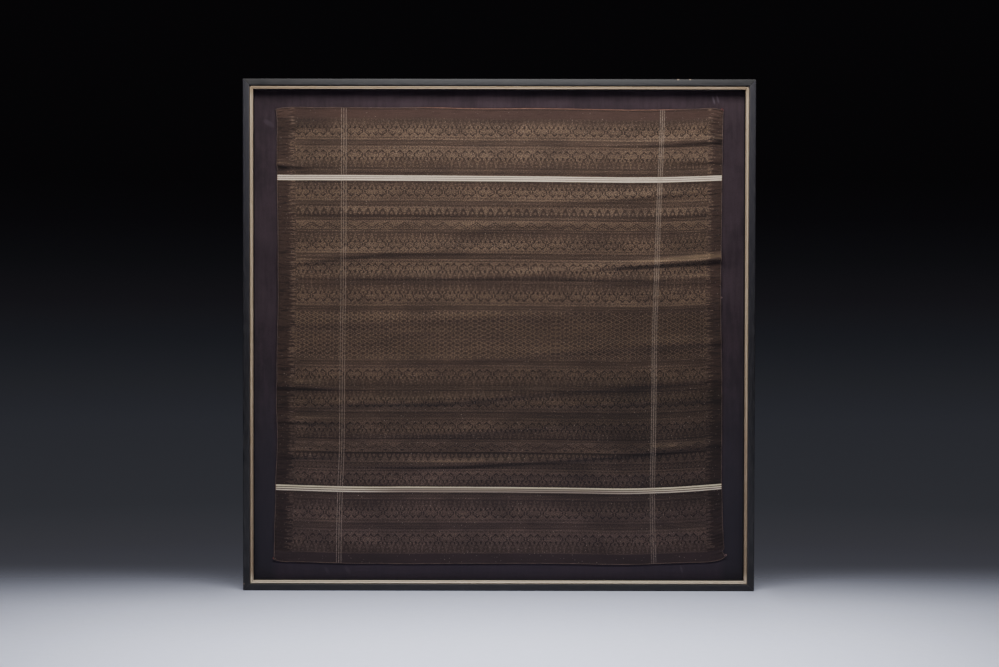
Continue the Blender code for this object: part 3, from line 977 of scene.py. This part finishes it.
def black_rail():
    """Black stained wood under a satin lacquer, brushed along its length and rubbed at its edges."""
    material, chain = sheet_of_nodes("black_rail")
    along, around, _ = split(place_on_piece(chain))
    brushed = grained(along * 3.0, around * 2400, 3.0, 0.5)
    cloudy = grained(along * 9, around * 30, 3.0)
    edge = values_on_piece(chain, "edge")
    rubbed = edge * grained(along * 40, around * 300, 3.0).ramp(0.35, 0.7)
    colour = mixed((13, 12, 14), (22, 20, 23), brushed.ramp(0.35, 0.72))
    x, y, z = split(object_place(chain))
    from_middle = abs(x)
    painted_light_sides = from_middle.ramp(0.484, 0.489) * (from_middle + FRAME_SIDE / 2 - z).ramp(-0.001, 0.001)
    # Painted light: the side rails lighter towards the top, and the bottom rail lighter as a painted
    # reflection of the pale floor; then the rubbed edges
    colour = coats(
        colour,
        ((50, 48, 55), painted_light_sides * z.ramp(0.25, 0.95) * 0.75),
        ((36, 34, 38), z.ramp(0.016, 0.013) * 0.6),
        ((60, 56, 56), rubbed * 0.4),
    )
    for chip_x, chip_z, long in RAIL_CHIPS:
        off_x, off_z = (x - chip_x) / long, (z - chip_z) / 0.0016
        chipped = (off_x * off_x + off_z * off_z).ramp(1.0, 0.4)
        colour = mixed(colour, (150, 128, 108), chipped * 0.8 * (y < -0.0205))
    roughness = 0.36 + 0.14 * brushed + 0.08 * cloudy + 0.1 * rubbed
    finish(chain, colour, roughness, brushed + 0.3 * cloudy, 0.05 * MM,
           specular_ior_level=0.45)
    return material


def gilt_slip():
    """Worn pale gilt: brighter on the ribs, brown in the groove, with rubbed spots, and painted light
    and shade that differ from slip to slip.
    """
    material, chain = sheet_of_nodes("gilt_slip")
    along, around, _ = split(place_on_piece(chain))
    leaf = grained(along * 25, around * 400, 4.0, 0.6)
    spots = grained(along * 110, around * 500, 3.0).ramp(0.62, 0.70)
    groove = values_on_piece(chain, "edge")
    colour = mixed((218, 192, 158), (244, 222, 190), leaf.ramp(0.3, 0.7))
    low_down = split(object_place(chain))[2]
    # Painted light and shade: darker low on the side slips and on the top slip, much lighter on the
    # bottom slip, on which the light falls; then rubbed spots, and brown from the edge values: patina
    # in the groove and painted shade on the inner rib
    colour = coats(
        colour,
        ((124, 100, 76), low_down.ramp(0.55, 0.15) * low_down.ramp(0.02, 0.03) * 0.5),
        ((166, 142, 112), low_down.ramp(0.96, 0.99) * 0.75),
        ((255, 236, 206), low_down.ramp(0.04, 0.02) * 0.95),
        ((96, 72, 48), spots * 0.5),
        ((92, 74, 56), groove * 0.8),
    )
    finish(chain, colour, 0.34 + 0.2 * leaf, leaf + spots, 0.10 * MM, 0.25 - 0.2 * groove,
           specular_ior_level=0.5)
    return material


def black_spacer():
    """Matt black paint over wood, with faint brush marks."""
    material, chain = sheet_of_nodes("black_spacer")
    along, around, _ = split(place_on_piece(chain))
    brushed = grained(along * 20, around * 900, 3.0)
    colour = mixed((15, 13, 15), (27, 24, 27), brushed)
    finish(chain, colour, 0.7 + 0.15 * brushed, brushed, 0.1 * MM, specular_ior_level=0.3)
    return material


def board_back():
    """Brown hardboard with its fine mesh of pressing."""
    material, chain = sheet_of_nodes("board_back")
    place = object_place(chain)
    x, _, z = split(place)
    fibre = noise(chain, place, 260.0, 4.0, 0.7)
    patch = noise(chain, place, 7.0, 3.0)
    grid = (x * 450).zigzag() * (z * 450).zigzag()
    colour = mixed((104, 78, 55), (134, 104, 76), fibre.ramp(0.3, 0.7))
    colour = mixed(colour, (90, 68, 50), patch.ramp(0.45, 0.75) * 0.5)
    finish(chain, colour, 0.8 - 0.1 * fibre, grid + fibre, 0.2 * MM)
    return material


def loose_thread(name, low, high):
    """Twisted sewing thread between two colours."""
    material, chain = sheet_of_nodes(name)
    along, around, _ = split(place_on_piece(chain))
    ply = (along * 900 + around).zigzag()
    tone = grained(along * 300, around, 2.0)
    finish(chain, mixed(low, high, tone), 0.7 + 0.1 * tone, ply, 0.1 * MM, sheen_weight=0.3)
    return material


# Pieces

def cloth_columns():
    """Woven positions of the grid's columns: close together near the selvedges, and between them one
    at every landmark of the repeat, with one halfway in the outer parts."""
    left = np.linspace(0, EDGE_STRETCH, COLUMNS_AT_EDGE + 1)
    marks = np.array([mark[0] for mark in REPEAT_MARKS]) / (CLOTH_WIDTH * 1000)
    marks = marks[(marks > EDGE_STRETCH * 1.2) & (marks < 1 - EDGE_STRETCH * 1.2)]
    halfway = (marks[1:] + marks[:-1]) / 2
    halfway = halfway[np.abs(halfway - 0.5) > 0.34]
    return np.sort(np.concatenate((left, marks, halfway, 1 - left)))


def cloth_rows():
    """Woven positions of the grid's rows, a little closer together near the top and the bottom."""
    even = np.linspace(0, 1, ROWS_UP + 1)
    return even - 0.4 * np.sin(2 * math.pi * even) / (2 * math.pi)


def build_cloth():
    """The sheet: a grid over the weave hung in its folds, given its thickness forwards. A second UV
    map, repeat, counts half repeats of the pattern across, and millimetres up. Facing tells how
    steeply each point of the sheet faces up."""
    columns = cloth_columns()
    rows = cloth_rows()
    across, up = np.meshgrid(columns, rows)
    across, up = across.ravel(), up.ravel()
    points = hang_cloth(across, up)
    faces = grid_faces(len(columns), len(rows))
    woven = np.column_stack((across, up))
    cloth = mesh_piece("songket_cloth_sheet", points, faces, [songket_weave()], woven)
    marks, halves = np.array(REPEAT_MARKS).T
    counted = np.interp(across * CLOTH_WIDTH * 1000, marks, halves)
    lay_uv(cloth.data, "repeat", np.column_stack((counted, up * CLOTH_HEIGHT * 1000)))
    steps_up = np.gradient(points.reshape(len(rows), len(columns), 3), axis=0)
    give_values(cloth, "facing", steps_up[..., 1] / steps_up[..., 2])
    thick = cloth.modifiers.new("thickness", "SOLIDIFY")
    thick.thickness = CLOTH_THICKNESS
    thick.offset = 1
    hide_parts("songket_cloth")
    return cloth


def tube_along(name, path, radius, material, sides=8, closed=False):
    """Round tube carried along a path of points: at each point a circle square to the path. Its
    UV map gives metres along the tube and the share of a turn around it."""
    ahead = np.roll(path, -1, axis=0) - np.roll(path, 1, axis=0)
    if not closed:
        ahead[0] = path[1] - path[0]
        ahead[-1] = path[-1] - path[-2]
    ahead /= np.linalg.norm(ahead, axis=1)[:, None]
    forward = np.array([0.0, 1.0, 0.0])
    side = np.cross(ahead, forward)
    side /= np.linalg.norm(side, axis=1)[:, None]
    other = np.cross(side, ahead)
    angle = np.linspace(0, 2 * math.pi, sides, endpoint=False)
    ring = side[:, None] * np.cos(angle)[None, :, None] + other[:, None] * np.sin(angle)[None, :, None]
    radius = np.broadcast_to(radius, len(path))[:, None, None]
    points = (path[:, None] + ring * radius).reshape(-1, 3)
    length = np.concatenate(([0], np.cumsum(np.linalg.norm(np.diff(path, axis=0), axis=1))))
    uv = np.column_stack((np.repeat(length, sides), np.tile(angle / (2 * math.pi), len(path))))
    rings = len(path) + 1 if closed else len(path)
    faces = (grid_faces(sides, rings, ring=True) % len(points))[:, ::-1].tolist()
    if not closed:
        faces.append(list(range(sides)))
        faces.append(list(range(len(points) - sides, len(points)))[::-1])
    return mesh_piece(name, points, faces, [material], uv)


HEM_RADIUS = 0.58 * MM
HEM_INSET = 0.0006


def build_hem():
    """Rolled hem that runs once round the cloth, on its front at the very edge."""
    steps = 260
    run = np.linspace(0, 1, steps, endpoint=False)
    zero, one = np.zeros(steps), np.ones(steps)
    across = np.concatenate((run, one, 1 - run, zero))
    up = np.concatenate((zero, run, one, 1 - run))
    across, up = np.clip((across, up), HEM_INSET, 1 - HEM_INSET)
    path = hang_cloth(across, up)
    path[:, 1] -= CLOTH_THICKNESS + HEM_RADIUS * 0.2
    wobble = 1 + 0.12 * np.sin(np.arange(len(path)) * 0.9) * np.sin(np.arange(len(path)) * 0.23)
    hem = tube_along("rolled_hem", path, HEM_RADIUS * wobble, hem_thread(), closed=True)
    return hem


def build_rails(material):
    """Four outer bars with softened edges."""
    corners = (
        (0, FRAME_DEPTH), (0, 1.6 * MM), (1.2 * MM, 0.9 * MM), (RAIL_FACE, 0),
        (RAIL_FACE, LIP_THICKNESS), (RAIL_WALL, LIP_THICKNESS), (RAIL_WALL, FRAME_DEPTH),
    )
    radii = np.array((0.4, 0.6, 0.7, 2.4, 0.3, 0.3, 0.4)) * MM
    steps = 4
    section = round_corners(corners, radii, steps)
    rub = np.concatenate([np.full(steps + 1, value) for value in (0.5, 1, 1, 0.8, 0.2, 0, 0.4)])
    for side in SIDES:
        rail = bar_along_side(f"rail_{side}_finished", side, section, 90, 0.08 * MM, material, rub)
        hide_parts(f"rail_{side}")


def build_slips(material):
    """Four gilt strips, whose visible part is two half-round ribs with a groove between."""
    under_lip = LIP_THICKNESS + SEAT
    rib, groove = 2.15 * MM, 0.75 * MM
    crest, flat = 3.0 * MM, 4.7 * MM
    reach = SLIP_REACH - 1.35 * MM
    back = (
        (reach, SLIP_BACK), (RAIL_WALL + SEAT, SLIP_BACK), (RAIL_WALL + SEAT, under_lip),
        (RAIL_FACE + SEAT, under_lip),
    )
    inner = reach - rib
    outer = inner - groove - rib
    # Edge values for the gilt's brown: patina at the foot of each rib in the groove, and painted shade
    # under the lip and over the inner rib, strongest on its inner flank. The bottom slip, on which the
    # light falls, gets half
    section, dark = list(back), [0.0, 0.0, 0.6, 0.8]
    for start, shaded, shaded_side in ((outer, 0.0, 0.0), (inner, 0.35, 0.8)):
        for turn in np.linspace(0, math.pi, 9):
            rise = math.sin(turn)
            section.append((start + rib / 2 * (1 - math.cos(turn)), flat - (flat - crest) * rise))
            dark.append(max(1 - rise * 2.2, shaded_side if turn > 1.9 else shaded))
    section, dark = np.array(section), np.array(dark)
    for side in SIDES:
        patina_and_painted_shade = dark * 0.5 if side == "bottom" else dark
        slip = bar_along_side(f"slip_{side}_gilt", side, section, 120, 0.06 * MM, material, patina_and_painted_shade)
        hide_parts(f"slip_{side}")


def build_spacers(material):
    """Four black strips between slip and board."""
    front, back = SLIP_BACK + SEAT, BOARD_FRONT - SEAT
    outer = RAIL_WALL + SEAT
    corners = ((outer, back), (outer, front), (SPACER_REACH, front), (SPACER_REACH, back))
    section = round_corners(corners, np.full(4, 0.4 * MM), 3)
    for side in SIDES:
        spacer = bar_along_side(f"spacer_{side}_painted", side, section, 24, 0.0, material)
        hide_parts(f"spacer_{side}")


FABRIC_TURNED_OVER = 42 * MM


def build_board(fabric, backing):
    """Covered board: a front that swells very slightly, rounded edges, and on the back the fabric's
    turned margin round the bare board."""
    half = FRAME_SIDE / 2 - RAIL_WALL - SEAT
    turned = half - FABRIC_TURNED_OVER
    edge = 1.0 * MM
    front_y = BOARD_FRONT - FRAME_DEPTH / 2
    back_y = front_y + BOARD_THICKNESS
    rings = (
        (half - edge, front_y), (half - 0.3 * edge, front_y + 0.3 * edge), (half, front_y + edge),
        (half, back_y - edge), (half - 0.3 * edge, back_y - 0.3 * edge), (half - edge, back_y),
        (turned, back_y), (turned, back_y - 0.4 * MM),
    )
    size = 61
    line = np.linspace(-1, 1, size)
    x, z = np.meshgrid(line, line)
    swell = 0.10 * MM * (1 - x**8) * (1 - z**8)
    uneven = 0.5 * swell * (1 + np.sin(x * 11 + 2 * z) * np.sin(z * 9 - x))
    reach = rings[0][0]
    front = np.column_stack((
        (x * reach).ravel(), (front_y - uneven).ravel(), (FRAME_SIDE / 2 + z * reach).ravel()
    ))
    faces = grid_faces(size, size).tolist()

    # The front's border, then ring after ring of points from it to the back
    number = np.arange(len(front)).reshape(size, size)
    last = np.concatenate((number[0, :-1], number[:-1, -1], number[-1, :0:-1], number[:0:-1, 0]))
    unit_x, unit_z = x.ravel()[last], z.ravel()[last]
    points = [front]
    for reach, y in rings[1:]:
        level = np.full(len(last), y)
        here = np.arange(len(last)) + sum(len(part) for part in points)
        points.append(np.column_stack((unit_x * reach, level, FRAME_SIDE / 2 + unit_z * reach)))
        faces += np.column_stack((np.roll(last, -1), last, here, np.roll(here, -1))).tolist()
        last = here
    faces.append(last[::-1].tolist())
    slots = [0] * (len(faces) - 1) + [1]
    board = mesh_piece("covered_board", np.concatenate(points), faces, [fabric, backing], smooth=False)
    board.data.polygons.foreach_set("material_index", np.array(slots, np.int32))
    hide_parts("mount_board")
    return board


# Ends of sewing thread that stand out at the cloth's edge: woven place, and the turns of the
# thread from there in mm, to the right, towards the viewer and up
THREAD_ENDS = {
    "thread_top_right": (
        (0.998, 0.996), "red", ((0, 0, 0), (1, 1.5, 2), (-1, 2, 4.5), (-3.5, 1.5, 4), (-3, 1, 1.5))
    ),
    "thread_bottom_right": (
        (0.999, 0.004), "pink", ((0, 0, 0), (3, 1, -1), (4.5, 1.2, 1), (3, 1, 2.5), (1, 1, 1))
    ),
    "thread_bottom_left": (
        (0.001, 0.004), "red", ((0, 0, 0), (-1, 1, -1), (-2, 1, 0.5), (-1, 1, 1.5))
    ),
    "thread_right_edge": (
        (1.0, 0.578), "pink", ((0, 0, 1), (1.8, 1, 0.3), (1.0, 1, -1.4), (-0.5, 0.6, -0.5))
    ),
}


def build_threads(materials):
    """Short curled ends of sewing thread."""
    for name, ((across, up), colour, turns) in THREAD_ENDS.items():
        root = hang_cloth(np.array([across]), np.array([up]))[0]
        turns = np.array(turns, float) * MM
        share = np.linspace(0, len(turns) - 1, 28)
        stations = np.arange(len(turns))
        right, out, rise = (smooth_between(stations, turns[:, i], share) for i in range(3))
        path = root + np.column_stack((right, -out - 1.4 * MM, rise))
        thread = tube_along(name, path, 0.35 * MM, materials[colour], sides=6)


# Stage

CAMERA_AWAY = 3.5
CAMERA_HEIGHT = 0.57
CAMERA_PITCH = math.radians(1.0985)
CAMERA_ROLL = math.radians(-0.10)
CAMERA_SHIFT = (0.00043, 0.00065)
FOCAL_PIXELS = 1794
IMAGE_WIDTH = 999


def build_camera():
    """Camera at the photograph's angle, nearly level and a little above the frame's middle."""
    data = bpy.data.cameras.new("camera")
    data.sensor_width = 36
    data.lens = FOCAL_PIXELS / IMAGE_WIDTH * data.sensor_width
    data.shift_x, data.shift_y = CAMERA_SHIFT
    camera = put_in_scene("camera", data)
    camera.location = (0, -FRAME_DEPTH / 2 - CAMERA_AWAY, CAMERA_HEIGHT)
    camera.rotation_euler = (math.pi / 2 - CAMERA_PITCH, CAMERA_ROLL, 0)
    bpy.context.scene.camera = camera


def soft_light(name, place, aim, wide, high, power, spread):
    """Soft lamp of a width and height at a place, turned towards its aim. The spread is the angle
    of its beam in degrees."""
    data = bpy.data.lights.new(name, "AREA")
    data.shape = "RECTANGLE"
    data.size = wide
    data.size_y = high
    data.energy = power
    data.spread = math.radians(spread)
    lamp = put_in_scene(name, data)
    lamp.location = place
    lamp.rotation_euler = (Vector(aim) - Vector(place)).to_track_quat("-Z", "Y").to_euler()
    return lamp


FLOOR_REACH = 4.0
FLOOR_FADES = (0.36, -0.27)
SKY_LOW, SKY_HIGH = -0.16, 0.08
SKY = (
    (-0.160, (71, 72, 80)), (-0.133, (58, 58, 64)), (-0.111, (50, 51, 56)), (-0.067, (45, 46, 52)),
    (-0.045, (39, 40, 45)), (-0.023, (31, 32, 37)), (0.000, (25, 24, 28)), (0.022, (18, 18, 21)),
    (0.044, (13, 12, 15)), (0.066, (10, 9, 11)),
)

# Soft lamps: name, place, what it aims at, width, height, power and the angle of its beam
LAMPS = (
    ("key", (0.02, -0.72, 1.50), (0.0, 0, 0.88), 1.15, 0.45, 12.9, 150),
    ("floor_pool", (0.0, -0.76, 1.15), (0, -0.76, 0), 1.6, 0.5, 9.2, 84),
    ("back_fill", (0.5, 3.2, 2.2), (0, 0, 0.5), 2.0, 2.0, 20, 180),
)


def build_stage():
    """Plain pale floor that fades out behind the frame, surroundings that darken upwards, and soft
    lamps, the strongest two above and in front."""
    corners = [(-1, -1, 0), (1, -1, 0), (1, 1, 0), (-1, 1, 0)]
    mesh = bpy.data.meshes.new("floor")
    mesh.from_pydata((np.array(corners) * FLOOR_REACH).tolist(), [], [(0, 1, 2, 3)])
    floor = put_in_scene("floor", mesh)
    material, chain = sheet_of_nodes("pale_floor")
    place = object_place(chain)
    grain = noise(chain, place, 60.0, 3.0)
    off_x, off_y, _ = split(place)
    near = (off_y - 0.10 * abs(off_x).ramp(0.56, 0.46)).ramp(*FLOOR_FADES)
    finish(chain, mixed((217, 221, 243), (225, 229, 250), grain), 0.6 + 0.05 * grain,
           specular_ior_level=0.2)
    chain.tree.links.new(near.socket, chain.tree.nodes["Principled BSDF"].inputs["Alpha"])
    mesh.materials.append(material)
    world = bpy.data.worlds.new("surroundings")
    bpy.context.scene.world = world
    world.use_nodes = True
    sky = Link(world.node_tree)
    up = split(sky.node("ShaderNodeTexCoord", {}, {}, 0))[2]
    at = (up - SKY_LOW) / (SKY_HIGH - SKY_LOW)
    stops = [((place - SKY_LOW) / (SKY_HIGH - SKY_LOW), shade(*tone)) for place, tone in SKY]
    colour = at.read_off("LINEAR", stops)
    world.node_tree.links.new(colour.socket, world.node_tree.nodes["Background"].inputs["Color"])
    for lamp in LAMPS:
        soft_light(*lamp)


build_camera()
build_stage()
cloth = build_cloth()
hem = build_hem()
build_rails(black_rail())
build_slips(gilt_slip())
build_spacers(black_spacer())
board = build_board(mount_fabric(), board_back())
threads = {
    "red": loose_thread("red_thread", (112, 38, 34), (140, 58, 50)),
    "pink": loose_thread("pink_thread", (134, 98, 94), (158, 124, 118)),
}
build_threads(threads)
